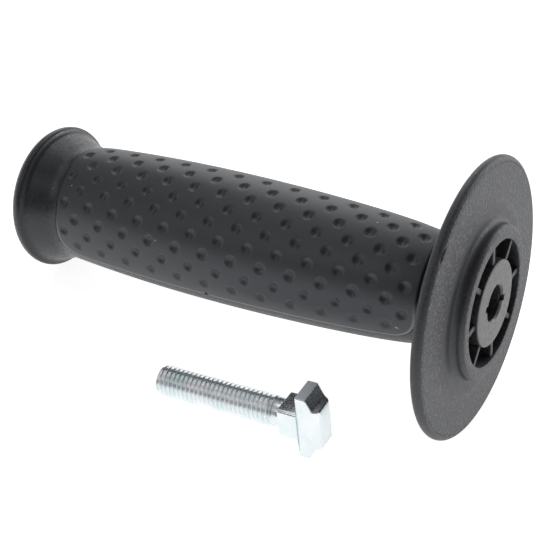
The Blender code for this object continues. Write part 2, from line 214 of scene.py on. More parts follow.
def padHalfWidth(station):
    # Half the pad's width in degrees: full, but for the round corners at its ends
    corner = grip["padCorner"]
    fromEnd = np.minimum(station - grip["padStart"], grip["padEnd"] - station)
    inCorner = np.clip(corner - fromEnd, 0.0, corner)
    cut = corner - np.sqrt(np.maximum(corner ** 2 - inCorner ** 2, 0.0))
    return grip["padHalfAngle"] - np.degrees(cut / gripRadius(station))


def outlineDistance(angle, station):
    # Distance to the pad's outline, negative inside: that of a rectangle with round corners,
    # with the way round the grip measured on its surface
    corner = grip["padCorner"]
    radius = gripRadius(station)
    across = np.abs(np.radians(angle)) * radius - np.radians(grip["padHalfAngle"]) * radius + corner
    middle = (grip["padStart"] + grip["padEnd"]) / 2.0
    along = np.abs(station - middle) - (grip["padEnd"] - grip["padStart"]) / 2.0 + corner
    outside = np.hypot(np.maximum(across, 0.0), np.maximum(along, 0.0))
    return outside + np.minimum(np.maximum(across, along), 0.0) - corner


def edgeDrop(distance, radius):
    # How far a quarter-round edge falls below the surface, a given distance in from its wall
    inside = np.clip(radius - distance, 0.0, radius)
    return radius - np.sqrt(radius ** 2 - inside ** 2)


def cornerStations(count):
    # Stations that step evenly round the outline's corner arc, from the pad's end inwards
    return grip["padCorner"] * (1.0 - np.cos(np.linspace(0.0, math.pi / 2.0, count)))


# Handle body: one grid, its rows along the section and its columns round the axis

body = {
    "columns": 288,
    "boreRadius": 4.4,
    "boreDepth": 38.0,
    "boreChamfer": 0.5,
    "hubRadius": 10.7,
    "faceEdge": 0.4,
    "pocketWidth": 4.8,
    "pocketDepth": 6.0,
    "ribCount": 8,
    "ribThickness": 1.3,
    "ribRecess": 0.55,
    "ribEdge": 0.15,
    "notchReach": 5.9,
    "notchMargin": 0.6,
    "notchWidth": 1.6,
    "notchDepth": 1.0,
    "notchAngle": 75.0,
    "bossRadius": 18.95,
    "bossRound": 1.3,
    "collarDepth": 2.95,
    "collarFillet": 1.5,
    "collarRadius": 22.1,
    "collarSlope": 2.6,
    "discFront": 3.35,
    "discBack": 6.21,
    "rimRadius": 34.47,
    "rimLineWidth": 0.12,
    "rimLineDepth": 0.09,
    "slitRadius": 33.4,
    "slitAngle": 221.0,
    "slitHalfAngle": 3.3,
    "slitHalfWidth": 0.42,
    "slitDepth": 0.55,
    "neckFillet": 6.8,
    "seatEdge": 0.25,
    "seatClearance": 0.05,
    "knobNeckGap": 0.5,
    "knobNeckDrop": 0.1,
    "flareBend": 8.0,
    "flareSlope": 21.0,
    "flareLength": 5.2,
    "lipFillet": 2.0,
    "lipSlope": 66.0,
    "lipRound": 1.1,
    "knobEndRound": 2.8,
    "knobDome": 0.57,
    "nutAcrossFlats": 13.0,
    "nutStation": 18.0,
    "nutHeight": 6.5,
    "nutClearance": 0.2,
    "sharpAngle": 32.0,
}


def hatWeights(indices, columns):
    # One row per anchored column: 1 at that column and falling straight to 0 at its neighbours
    every, units = np.arange(columns), np.eye(len(indices))
    return np.array([np.interp(every, indices, unit, period=columns) for unit in units])


def warpedAngles(rowAnchors, indices, columns):
    # Column angles, evenly spaced but for the anchored columns, which sit where each row asks.
    # What lies between two anchors is spread evenly
    even = np.arange(columns) * 360.0 / columns
    moved = rowAnchors - even[indices]
    moved = (moved + 180.0) % 360.0 - 180.0
    return even[None, :] + moved @ hatWeights(indices, columns)


def bodySections():
    # The section in runs of (radius, station) rows, from the bore's floor to the middle of the knob
    b = body
    bore, hub, edge, notch = b["boreRadius"], b["hubRadius"], b["faceEdge"], b["notchReach"]
    boss, bossRound, collar = b["bossRadius"], b["bossRound"], b["collarRadius"]
    fillet, step = b["collarFillet"], b["collarDepth"]
    front, back, bend = b["discFront"], b["discBack"], b["neckFillet"]
    ringInner = hub + b["pocketWidth"]
    neckRadius = gripRadius(grip["padStart"]) - grip["padProud"]
    knobNeckRadius = gripRadius(grip["padEnd"]) - grip["padProud"] - b["knobNeckDrop"]
    rimRound = (back - front) / 2.0
    rimCentre = b["rimRadius"] - rimRound
    nutTop = b["nutStation"] - b["nutClearance"]
    nutBottom = b["nutStation"] + b["nutHeight"] + b["nutClearance"]
    ramp = np.linspace(0.0, 1.0, 9)
    sections = {}
    sections["bore"] = np.concatenate([
        line((0.0, b["boreDepth"]), (bore, b["boreDepth"]), 3),
        line((bore, b["boreDepth"]), (bore, nutBottom), 4)[1:],
    ])
    sections["nut"] = np.array([(1.0, nutBottom), (1.0, nutTop)])
    sections["throat"] = line((bore, nutTop), (bore, 2.0 * b["notchDepth"]), 8)
    sections["mouth"] = np.array([
        (bore, b["notchDepth"]),
        (bore, b["boreChamfer"]),
        (bore + b["boreChamfer"], 0.0),
        (notch, 0.0),
        (notch, 0.0),
    ])
    sections["hubFace"] = np.concatenate([
        line((notch + b["notchMargin"], 0.0), (hub - edge, 0.0), 6),
        arcPoints(hub - edge, edge, edge, 75.0, 15.0, 4),
    ])
    sections["pockets"] = np.concatenate([
        line((hub, edge), (hub, b["pocketDepth"]), 8),
        line((hub, b["pocketDepth"]), (ringInner, b["pocketDepth"]), 6)[1:],
        line((ringInner, b["pocketDepth"]), (ringInner, edge), 8)[1:],
    ])
    sections["flange"] = np.concatenate([
        arcPoints(ringInner + edge, edge, edge, 165.0, 90.0, 5),
        arcPoints(boss - bossRound, bossRound, bossRound, 90.0, 0.0, 9),
        arcPoints(boss + fillet, step - fillet, fillet, 180.0, 270.0, 9),
        line((boss + fillet, step), (collar, step), 4)[1:],
        np.stack([
            collar + b["collarSlope"] * ramp,
            step + (front - step) * (3.0 - 2.0 * ramp) * ramp ** 2,
        ], -1)[1:],
        line((collar + b["collarSlope"], front), (rimCentre - b["rimLineWidth"], front), 12)[1:],
        [(rimCentre - b["rimLineWidth"] / 2.0, front + b["rimLineDepth"])],
        arcPoints(rimCentre, front + rimRound, rimRound, 90.0, -90.0, 31),
        line((rimCentre, back), (neckRadius + bend, back), 8)[1:],
    ])
    sections["neck"] = arcPoints(neckRadius + bend, back + bend, bend, 90.0, 180.0, 16)[1:]
    flareStart = grip["padEnd"] + b["knobNeckGap"]
    flare = bendPoints(knobNeckRadius, flareStart, 0.0, b["flareSlope"], b["flareBend"], 10)
    slope = math.radians(b["flareSlope"])
    footRadius = flare[-1, 0] + b["flareLength"] * math.sin(slope)
    footStation = flare[-1, 1] + b["flareLength"] * math.cos(slope)
    foot = (footRadius, footStation)
    cone = line(flare[-1], foot, 12)[1:-1]
    knobFillet = bendPoints(*foot, b["flareSlope"], b["lipSlope"], b["lipFillet"], 10)
    lip = bendPoints(*knobFillet[-1], b["lipSlope"], 0.0, b["lipRound"], 10)[1:]
    end = bendPoints(*lip[-1], 0.0, -90.0, b["knobEndRound"], 16)[1:]
    share = np.linspace(1.0, 0.0, 10)
    domed = end[-1, 1] + b["knobDome"] * (1.0 - share ** 2)
    dome = np.stack([end[-1, 0] * share, domed], -1)[1:]
    sections["knob"] = np.concatenate([flare, cone, knobFillet, lip, end, dome])
    return sections


def spreadSection(section, shape):
    # The section's radii and stations, each repeated over its row of columns
    return np.broadcast_to(section[:, :1], shape), np.broadcast_to(section[:, 1:], shape)


def evenRows(section, columns):
    # Turns a run of section points into full rows with evenly spaced columns
    angle = np.broadcast_to(np.arange(columns) * 360.0 / columns, (len(section), columns))
    radius, station = spreadSection(section, angle.shape)
    return radius, angle, station


def flangeRows(section, columns):
    # Boss, collar and disc, with a short slit mark in the rim's rounding: a cut that is deepest in
    # its middle and falls off with the square of the way along it and across it
    radius, angle, station = evenRows(section, columns)
    along = (angle - body["slitAngle"]) / body["slitHalfAngle"]
    across = (radius - body["slitRadius"]) / body["slitHalfWidth"]
    inFront = station < (body["discFront"] + body["discBack"]) / 2.0
    lengthwise = np.sqrt(np.clip(1.0 - along ** 2, 0.0, None))
    cut = lengthwise * np.clip(1.0 - across ** 2, 0.0, None) * inFront
    return radius, angle, station + body["slitDepth"] * cut


def nutRows(section, columns):
    # A hexagonal pocket: its radius grows towards the corners as one over the cosine, and the
    # section's own radius isn't used
    _, angle, station = evenRows(section, columns)
    fromFlat = np.radians((angle + 30.0 + 30.0) % 60.0 - 30.0)
    return (body["nutAcrossFlats"] / 2.0 + body["nutClearance"]) / np.cos(fromFlat), angle, station


def mouthRows(section, columns):
    # The bore's mouth with two straight-sided notches. Each side has two columns in one place:
    # one follows the mouth, the other the notch's floor
    perDegree = columns / 360.0
    inner, outer = [], []
    for centre in (body["notchAngle"], body["notchAngle"] + 180.0):
        middle = round(centre * perDegree)
        inner += [middle - 7, middle + 7]
        outer += [middle - 8, middle + 8]
    indices = np.array(sorted(inner + outer))
    middles = body["notchAngle"] + 180.0 * (indices >= columns / 2)
    side = np.sign(indices - middles * perDegree)
    half = np.degrees(np.arcsin(body["notchWidth"] / 2.0 / section[:, :1]))
    angle = warpedAngles(middles[None, :] + side[None, :] * half, indices, columns)
    radius, station = (part.copy() for part in spreadSection(section, angle.shape))
    inNotch = np.zeros(columns, bool)
    for first, last in zip(sorted(inner)[::2], sorted(inner)[1::2]):
        inNotch[first:last + 1] = True
    station[:-1, inNotch] = body["notchDepth"]
    fromMiddle = (angle[-2:, inNotch] - body["notchAngle"] + 90.0) % 180.0 - 90.0
    radius[-2:, inNotch] = body["notchReach"] / np.cos(np.radians(fromMiddle))
    return radius, angle, station


def pocketRows(section, columns):
    # The ring of pockets. At each rib three columns on either side stay parallel to it: the edge
    # of its top, the foot of its bevel, and the pocket's wall
    count, thick = body["ribCount"], body["ribThickness"] / 2.0
    step = columns // count
    offsets = np.array([-4, -3, -2, 2, 3, 4])
    indices = ((np.arange(count) * step)[:, None] + offsets).reshape(-1) % columns
    order = np.argsort(indices)
    ribAngle = np.repeat(np.arange(count) * 360.0 / count, len(offsets))[order]
    offset = np.tile(offsets, count)[order]
    indices = indices[order]
    half = np.where(np.abs(offset) == 2, thick - body["ribEdge"], thick)
    spread = np.degrees(np.arcsin(half[None, :] / section[:, :1])) * np.sign(offset)[None, :]
    angle = warpedAngles(ribAngle[None, :] + spread, indices, columns)
    radius, station = spreadSection(section, angle.shape)
    fromRib = np.abs((np.arange(columns) + step // 2) % step - step // 2)
    limit = np.where(fromRib <= 2, body["ribRecess"], body["ribRecess"] + body["ribEdge"])
    ribbed = np.minimum(station, limit[None, :])
    return radius, angle, np.where(fromRib[None, :] <= 3, ribbed, station)


def seatRows(section, columns):
    # The grip with its two seats. Rows come in as (surface radius, station), and the columns
    # beside each seat follow its outline: two at the wall, two more on the round shoulder
    halfColumns = round(grip["padHalfAngle"] * columns / 360.0)
    shoulder = np.array([0.0, 0.0, 0.3, 1.0]) * body["seatEdge"]
    radiusHere, station = section[:, :1], section[:, 1:]
    blend = np.clip((station - body["discBack"]) / (grip["padStart"] - body["discBack"]), 0.0, 1.0)
    full = grip["padHalfAngle"]
    onPad = np.clip(station, grip["padStart"], grip["padEnd"])
    width = full + (padHalfWidth(onPad) - full) * blend
    width = width + np.degrees(body["seatClearance"] / radiusHere)
    indices, anchors = [], []
    for centre in padCentres.values():
        middle = round(centre * columns / 360.0)
        for side in (-1, 1):
            for i, away in enumerate(shoulder):
                indices.append((middle + side * (halfColumns + i)) % columns)
                anchors.append(centre + side * (width + np.degrees(away / radiusHere)))
    order = np.argsort(indices)
    indices = np.array(indices)[order]
    anchors = np.concatenate(anchors, axis=1)[:, order]
    angle = warpedAngles(anchors, indices, columns)
    inSeat = np.zeros(columns, bool)
    distance = np.full(angle.shape, farAway)
    stations = np.broadcast_to(station, angle.shape)
    for centre in padCentres.values():
        middle = round(centre * columns / 360.0)
        fromMiddle = (np.arange(columns) - middle + columns // 2) % columns - columns // 2
        inSeat |= np.abs(fromMiddle) <= halfColumns
        turned = (angle - centre + 180.0) % 360.0 - 180.0
        distance = np.minimum(distance, outlineDistance(turned, stations))
    fromWall = np.maximum(distance - body["seatClearance"], 0.0)
    return radiusHere - edgeDrop(fromWall, body["seatEdge"]), angle, stations, inSeat


def gripRows(columns):
    # Neck, seats and the strips between them, as far as the knob's neck. The rows at each end of
    # the seats are doubled, once at the surface and once on the seat's floor
    start = grip["padStart"] - body["seatClearance"]
    end = grip["padEnd"] + body["seatClearance"]
    corner = cornerStations(14)
    middle = np.linspace(start + grip["padCorner"], end - grip["padCorner"], 60)[1:-1]
    inside = np.concatenate([start + corner, middle, (end - corner)[::-1]])
    lead = start - np.array([1.0, 0.3]) * body["seatEdge"]
    trail = end + np.array([0.3, 1.0]) * body["seatEdge"]
    stations = np.concatenate([lead, [start], inside, [end], trail])
    section = np.stack([gripRadius(stations) - grip["padProud"], stations], -1)
    radius, angle, station, inSeat = seatRows(section, columns)
    floor = gripRadius(stations) - grip["padThickness"] - body["seatClearance"]
    deep = np.zeros(len(stations), bool)
    deep[3:3 + len(inside)] = True
    onFloor = deep[:, None] & inSeat[None, :]
    return np.where(onFloor, floor[:, None], radius), angle, station


def buildBody(material):
    columns = body["columns"]
    sections = bodySections()
    neck = sections["neck"][:-1]
    _, neckAngle, neckStation, _ = seatRows(neck, columns)
    runs = [
        evenRows(sections["bore"], columns),
        nutRows(sections["nut"], columns),
        evenRows(sections["throat"], columns),
        mouthRows(sections["mouth"], columns),
        evenRows(sections["hubFace"], columns),
        pocketRows(sections["pockets"], columns),
        flangeRows(sections["flange"], columns),
        (np.broadcast_to(neck[:, :1], neckAngle.shape), neckAngle, neckStation),
        gripRows(columns),
        evenRows(sections["knob"], columns),
    ]
    radius, angle, station = (np.concatenate(parts) for parts in zip(*runs))
    points = roundPoints(radius, angle, station)
    quads = gridQuads(len(radius), columns, True)
    points, quads, triangles = weld(points, quads)
    faces = quads.tolist() + triangles.tolist()
    return makePiece("handle_moulding", points, faces, handleMatrix, body["sharpAngle"], material)


# Soft pads: a fine outer skin with bowl-shaped dimples, a wall and a coarse underside

pad = {
    "rowSpacing": 0.27,
    "columnCount": 160,
    "edgeColumns": 8,
    "edgeRound": 0.55,
    "dimpleRadius": 1.45,
    "dimpleDepth": 0.66,
    "dimpleInset": 3.34,
    "dimplePitch": 8.234,
    "dimpleRows": 9,
    "dimpleRowsRound": 26,
    "dimpleLip": 0.11,
    "dimpleReach": 1.6,         # radii from its centre where a dimple ends
    "undersideStep": 12,
    "nickPad": "grip_pad_front",
    "nickAngle": 72.0,
    "nickStation": 71.9,
    "nickSize": (1.3, 0.8),     # millimetres round the grip and along it, from middle to edge
    "nickDepth": 0.9,
    "lowerSide": {"grip_pad_front": 1.0, "grip_pad_rear": -1.0},
    "paintedHighlightName": "painted_edge_highlight",
    "paintedHighlightWidth": 0.95,         # of the painted highlight along the pad's round edge
    "sharpAngle": 50.0,
}


def dimpleDrop(angle, station):
    # Depth below the skin: a bowl, one minus the squared distance from the nearest centre of a
    # staggered lattice, with its rim softened
    rowStep = 360.0 / pad["dimpleRowsRound"]
    row = angle / rowStep + (pad["dimpleRows"] - 1) / 2.0
    first = grip["padStart"] + pad["dimpleInset"]
    lastCentre = grip["padEnd"] - pad["dimpleRadius"]
    nearest = np.full(angle.shape, farAway)
    for candidate in (np.floor(row), np.ceil(row)):
        candidate = np.clip(candidate, 0, pad["dimpleRows"] - 1)
        start = first + np.where(candidate % 2 == 0, pad["dimplePitch"] / 2.0, 0.0)
        most = np.floor((lastCentre - start) / pad["dimplePitch"])
        number = np.clip(np.round((station - start) / pad["dimplePitch"]), 0, most)
        along = station - start - number * pad["dimplePitch"]
        across = np.radians((row - candidate) * rowStep) * gripRadius(station)
        nearest = np.minimum(nearest, np.hypot(along, across))
    bowl = 1.0 - (nearest / pad["dimpleRadius"]) ** 2
    lip = pad["dimpleLip"]
    inReach = nearest < pad["dimpleReach"] * pad["dimpleRadius"]
    return pad["dimpleDepth"] * (np.sqrt(bowl ** 2 + lip ** 2) + bowl) / 2.0 * inReach


def nickDrop(angle, station):
    # A small nick in the pad's lower edge: one minus the squared distance from its middle
    around, along = pad["nickSize"]
    aside = np.radians(angle - pad["nickAngle"]) * gripRadius(station) / around
    distance = np.hypot(aside, (station - pad["nickStation"]) / along)
    return pad["nickDepth"] * np.clip(1.0 - distance ** 2, 0.0, None)


def padShares():
    # Column places from -1 to 1, closer together on the round edges
    edge = pad["edgeRound"] / (math.radians(grip["padHalfAngle"]) * grip["bellyRadius"])
    side = 1.0 - edge * (1.0 - np.sin(np.linspace(0.0, math.pi / 2.0, pad["edgeColumns"])))
    middle = np.linspace(-side[0], side[0], pad["columnCount"])
    return np.concatenate([-side[::-1], middle[1:-1], side])


def padStations():
    # Row stations, stepping evenly round the corners and along the straight sides
    start, end, bend = grip["padStart"], grip["padEnd"], grip["padCorner"]
    corner = cornerStations(26)
    count = round((end - start - 2.0 * bend) / pad["rowSpacing"])
    middle = np.linspace(start + bend, end - bend, count)
    return np.concatenate([start + corner, middle[1:-1], (end - corner)[::-1]])


def padBlocks(start, rows, columns, step):
    # Coarse faces over a fine grid's rows and columns. Those at the border take in every border
    # point, so that they close onto the wall
    rowMarks = list(range(0, rows - 1, step)) + [rows - 1]
    columnMarks = list(range(0, columns - 1, step)) + [columns - 1]
    faces = []
    for top, bottom in zip(rowMarks, rowMarks[1:]):
        for left, right in zip(columnMarks, columnMarks[1:]):
            across = range(left, right + 1) if top == 0 else (left, right)
            back = range(right, left - 1, -1) if bottom == rows - 1 else (right, left)
            down = range(top + 1, bottom) if right == columns - 1 else ()
            up = range(bottom - 1, top, -1) if left == 0 else ()
            ring = [top * columns + c for c in across] + [r * columns + right for r in down]
            ring += [bottom * columns + c for c in back] + [r * columns + left for r in up]
            faces.append([start + corner for corner in ring])
    return faces


def buildPad(node, material):
    share = padShares()
    station = padStations()[:, None]
    angle = share[None, :] * padHalfWidth(station)
    rows, columns = angle.shape
    inside = -outlineDistance(angle, np.broadcast_to(station, angle.shape))
    surface = gripRadius(station)
    skin = surface - edgeDrop(np.maximum(inside, 0.0), pad["edgeRound"])
    skin = skin - dimpleDrop(angle, station)
    if node == pad["nickPad"]:
        skin = skin - nickDrop(angle, station)
    under = np.broadcast_to(surface - grip["padThickness"], angle.shape)
    turned = angle + padCentres[node]
    stations = np.broadcast_to(station, angle.shape)
    points = np.concatenate([roundPoints(layer, turned, stations) for layer in (skin, under)])
    count = rows * columns
    border = np.concatenate([
        np.arange(columns),
        np.arange(1, rows) * columns + columns - 1,
        (rows - 1) * columns + np.arange(columns - 2, -1, -1),
        np.arange(rows - 2, 0, -1) * columns,
    ])
    ahead = np.roll(border, -1)
    wall = np.stack([border, border + count, ahead + count, ahead], -1)
    outer = gridQuads(rows, columns, False)
    faces = outer.tolist() + wall[:, ::-1].tolist()
    faces += [face[::-1] for face in padBlocks(count, rows, columns, pad["undersideStep"])]
    used = np.unique(np.concatenate([np.array(face) for face in faces]))
    renumber = np.zeros(len(points), int)
    renumber[used] = np.arange(len(used))
    faces = [renumber[face].tolist() for face in faces]
    # Painted highlight: a pale line along the lower round edge of each pad, kept as a point
    # attribute
    nearEdge = np.clip(1.5 - 1.5 * inside / pad["paintedHighlightWidth"], 0.0, 1.0)
    lower = np.clip(3.0 * share[None, :] * pad["lowerSide"][node] - 1.5, 0.0, 1.0)
    paintedHighlight = np.concatenate([(nearEdge * lower).reshape(-1), np.zeros(count)])
    name, sharp = node + "_skin", pad["sharpAngle"]
    piece = makePiece(name, points[used], faces, handleMatrix, sharp, material)
    attribute = piece.data.attributes.new(pad["paintedHighlightName"], "FLOAT", "POINT")
    attribute.data.foreach_set("value", paintedHighlight[used])
    return piece


# T-head bolt: a climbing thread grid, then shank, square neck and head as one loft

bolt = {
    "columns": 96,
    "threadRadius": 3.95,
    "threadRoot": 3.32,
    "threadPitch": 1.25,
    "threadLength": 33.4,
    "threadRunOut": 1.6,
    "threadEnd": 0.8,
    "threadWave": (0.12, 0.7),  # where the flank starts on the wave, and its share of it
    "threadPower": (1.25, 0.25),    # roundness at the root, and flatness on the crest
    "rowsPerTurn": 14,
    "shankRadius": 3.7,
    "shankLength": 1.7,
    "neckSquare": 8.2,
    "neckEdge": 1.0,
    "neckLength": 5.1,
    "wingSpan": 18.2,
    "wingWidth": 7.4,
    "wingThickness": 2.7,
    "wingSlopeSpan": 6.3,
    "wingSlopeHeight": 1.4,
    "headEndHeight": 1.6,
    "headEndTaper": 0.5,
    "headEndBevel": 1.0,
    "headEdge": 0.35,
    "undersideEdge": 0.12,
    "leastEdge": 0.05,
    "cornerShare": 1.6,         # the head's corners against its edges
    "sharpAngle": 40.0,
}


def threadHeight(phase):
    # Height of a rolled thread over one pitch, from 0 at the root to 1 on the crest: a wave
    # with straight flanks, flattened on the crest and rounded at the root
    wave = 1.0 - np.abs(2.0 * (phase % 1.0) - 1.0)
    foot, flank = bolt["threadWave"]
    power, flatness = bolt["threadPower"]
    risen = np.clip((wave - foot) / flank, 0.0, 1.0)
    return risen ** power * (1.0 - flatness * risen) / (1.0 - flatness)


def threadPoints(columns):
    # Rows climb one pitch per turn, so that each follows the helix. Past the ends they gather on
    # the end circles
    b = bolt
    perTurn = b["rowsPerTurn"]
    rows = round((b["threadLength"] / b["threadPitch"] + 2.0) * perTurn) + 1
    start = -1.0 * b["threadPitch"]
    row = np.arange(rows)[:, None]
    turn = np.arange(columns)[None, :] / columns
    station = start + (row / perTurn + turn) * b["threadPitch"]
    height = np.broadcast_to(threadHeight(row / perTurn), station.shape)
    depth = b["threadRadius"] - b["threadRoot"]
    radius = b["threadRoot"] + depth * height
    clipped = np.clip(station, 0.0, b["threadLength"])
    fade = np.clip((b["threadLength"] - clipped) / b["threadRunOut"], 0.0, 1.0)
    radius = b["shankRadius"] + (radius - b["shankRadius"]) * fade
    cone = b["threadRadius"] - b["threadEnd"] + clipped
    return np.minimum(radius, cone), np.broadcast_to(turn * 360.0, station.shape), clipped, rows


def sectionRing(halfA, halfB, edge):
    # A rectangle with round corners: each quarter of the circle moved out to its corner
    quarter = bolt["columns"] // 4
    steps = np.linspace(0.0, 90.0, quarter + 1)
    angle = (np.arange(4)[:, None] * 90.0 + steps[None, :]).reshape(-1)
    signA = np.repeat([1.0, -1.0, -1.0, 1.0], quarter + 1)
    signB = np.repeat([1.0, 1.0, -1.0, -1.0], quarter + 1)
    turned = np.radians(angle)
    across = signA * (halfA - edge) + edge * np.cos(turned)
    along = signB * (halfB - edge) + edge * np.sin(turned)
    return np.stack([across, along], -1)


def roundedStep(station, halfA, halfB, edge, inset, count=5):
    # Rows of a round between a flat end and its sides: inset falls as a quarter circle
    rows = []
    for share in np.linspace(0.0, 1.0, count):
        quarter = share * math.pi / 2.0
        back = inset * (1.0 - math.sin(quarter))
        height = inset * (1.0 - math.cos(quarter))
        corner = max(edge - back, bolt["leastEdge"])
        rows.append((station + height, halfA - back, halfB - back, corner))
    return rows


def boltRows():
    # Stations, half sizes and corner radius of the loft from the shank to the head's end
    b = bolt
    neckStart = b["threadLength"] + b["shankLength"]
    headStart = neckStart + b["neckLength"]
    wingTop = headStart + b["wingThickness"]
    slopeTop = wingTop + b["wingSlopeHeight"]
    headTop = slopeTop + b["headEndHeight"]
    shank, neck, edge = b["shankRadius"], b["neckSquare"] / 2.0, b["headEdge"]
    spanHalf, widthHalf = b["wingSpan"] / 2.0, b["wingWidth"] / 2.0
    slopeHalf = spanHalf - b["wingSlopeSpan"] / 2.0
    endHalf, endWidthHalf = slopeHalf - b["headEndTaper"] / 2.0, widthHalf - b["headEndBevel"]
    rows = [(b["threadLength"], shank, shank, shank), (neckStart, shank, shank, shank)]
    corner = edge * b["cornerShare"]
    rows += roundedStep(neckStart, neck, neck, b["neckEdge"], edge)
    rows += [(headStart, neck, neck, b["neckEdge"])]
    rows += roundedStep(headStart, spanHalf, widthHalf, corner, b["undersideEdge"])
    rows += [   # each edge is rounded by rows that step in by shares of its size
        (wingTop - edge, spanHalf, widthHalf, corner),
        (wingTop - edge * 0.3, spanHalf - edge * 0.3, widthHalf, corner),
        (wingTop + edge * 0.3, spanHalf - edge * 1.6, widthHalf, corner),
        (slopeTop - edge * 0.3, slopeHalf + edge * 0.7, widthHalf, corner),
        (slopeTop + edge * 0.4, slopeHalf, widthHalf - edge * 0.3, corner),
        (headTop - edge, endHalf + edge * 0.2, endWidthHalf + edge * 0.9, corner),
        (headTop - edge * 0.3, endHalf - edge * 0.3, endWidthHalf + edge * 0.1, edge * 1.5),
        (headTop, endHalf - edge, endWidthHalf - edge * 0.6, edge),
        (headTop, 0.0, 0.0, 0.0),
    ]
    return rows


def buildBolt(material):
    columns = bolt["columns"]
    radius, angle, station, rows = threadPoints(columns)
    turned = np.radians(angle)
    thread = np.stack([radius * np.cos(turned), radius * np.sin(turned), station], -1)
    thread = thread.reshape(-1, 3)
    threadQuads = gridQuads(rows, columns, True, bolt["rowsPerTurn"])
    loft = []
    for height, halfA, halfB, edge in boltRows():
        ring = sectionRing(halfA, halfB, edge)
        loft.append(np.column_stack([ring, np.full(len(ring), height)]))
    ringSize = len(loft[0])
    tip = bolt["threadRadius"] - bolt["threadEnd"]
    endRing = sectionRing(tip, tip, tip)
    cap = [np.column_stack([endRing * share, np.zeros(ringSize)]) for share in (0.0, 1.0)]
    points = np.concatenate([thread, *cap, *loft])
    capQuads = gridQuads(2, ringSize, True) + len(thread)
    loftQuads = gridQuads(len(loft), ringSize, True) + len(thread) + 2 * ringSize
    allQuads = np.concatenate([threadQuads, capQuads, loftQuads])
    points, quads, triangles = weld(points * mm, allQuads)
    faces = quads.tolist() + triangles.tolist()
    return makePiece("t_bolt_threaded", points, faces, boltMatrix, bolt["sharpAngle"], material)


# Materials

def newMaterial(name):
    material = bpy.data.materials.new(name)
    material.use_nodes = True
    return material, material.node_tree, material.node_tree.nodes["Principled BSDF"]


def addNode(tree, kind, settings=None, **values):
    # Adds a node, sets its properties, and sets or links its inputs, by name with _ for spaces or
    # by number as i0, i1 and so on
    node = tree.nodes.new(kind)
    for key, value in (settings or {}).items():
        setattr(node, key, value)
    for key, value in values.items():
        numbered = key[0] == "i" and key[1:].isdigit()
        socket = node.inputs[int(key[1:]) if numbered else key.replace("_", " ")]
        if isinstance(value, bpy.types.NodeSocket):
            tree.links.new(value, socket)
        else:
            socket.default_value = value
    return node


def objectPoint(tree):
    return addNode(tree, "ShaderNodeTexCoord").outputs["Object"]


noiseRange = (0.3, 0.7)         # most of a noise texture's values lie between these


def noise(tree, point, scale, detail=3.0, roughness=0.5):
    values = {"Vector": point, "Scale": scale, "Detail": detail, "Roughness": roughness}
    return addNode(tree, "ShaderNodeTexNoise", **values).outputs["Fac"]


def remap(tree, value, low, high, newLow=0.0, newHigh=1.0):
    node = addNode(tree, "ShaderNodeMapRange", i0=value, i1=low, i2=high, i3=newLow, i4=newHigh)
    return node.outputs[0]


def blendColor(tree, share, first, second):
    node = addNode(tree, "ShaderNodeMix", {"data_type": "RGBA"}, i0=share)
    for socket, color in ((node.inputs[6], first), (node.inputs[7], second)):
        if isinstance(color, bpy.types.NodeSocket):
            tree.links.new(color, socket)
        else:
            socket.default_value = (*color, 1.0)
    return node.outputs[2]


def bump(tree, height, strength, distance, normal=None):
    node = addNode(tree, "ShaderNodeBump", Height=height, Strength=strength, Distance=distance * mm)
    if normal is not None:
        tree.links.new(normal, node.inputs["Normal"])
    return node.outputs["Normal"]


def math2(tree, operation, first, second):
    return addNode(tree, "ShaderNodeMath", {"operation": operation}, i0=first, i1=second).outputs[0]


def vectorMath(tree, operation, output, **inputs):
    return addNode(tree, "ShaderNodeVectorMath", {"operation": operation}, **inputs).outputs[output]


def nearPoint(tree, point, centre, radius, soft):
    # 1 within a radius of a place on the object, given in metres, and 0 a soft width further out
    away = vectorMath(tree, "DISTANCE", "Value", i0=point, i1=centre)
    return remap(tree, away, radius * mm, (radius + soft) * mm, 1.0, 0.0)


def along(tree, point, origin, way):
    # How far a point lies from an origin in a direction, in metres
    offset = vectorMath(tree, "SUBTRACT", "Vector", i0=point, i1=tuple(origin))
    return vectorMath(tree, "DOT_PRODUCT", "Value", i0=offset, i1=tuple(way))


def handlePoint(radius, angle, station):
    # A place on the handle; angles count from straight down, through the side away from the bolt
    return tuple(handleMatrix @ Vector(roundPoints(radius, angle, station)[0]))


streakCore = 0.6                # share of a streak's half size that is full strength


def streak(tree, point, first, last, width):
    # 1 on a slim ellipsoid that runs from one place to the other, 0 outside it
    reach = Vector(last) - Vector(first)
    placed = {
        "Vector": point,
        "Location": (Vector(first) + Vector(last)) / 2.0,
        "Rotation": reach.to_track_quat("X", "Z").to_euler(),
        "Scale": (reach.length / 2.0, width / 2.0 * mm, width / 2.0 * mm),
    }
    local = addNode(tree, "ShaderNodeMapping", {"vector_type": "TEXTURE"}, **placed)
    length = vectorMath(tree, "LENGTH", "Value", i0=local.outputs[0])
    return remap(tree, length, streakCore, 1.0, 1.0, 0.0)


def finishShader(tree, shader, color, roughness, normal):
    tree.links.new(color, shader.inputs["Base Color"])
    tree.links.new(roughness, shader.inputs["Roughness"])
    tree.links.new(normal, shader.inputs["Normal"])


def sheen(shader, look):
    shader.inputs["Specular IOR Level"].default_value = look["gloss"]
    shader.inputs["Specular Tint"].default_value = (*look["specularTint"], 1.0)


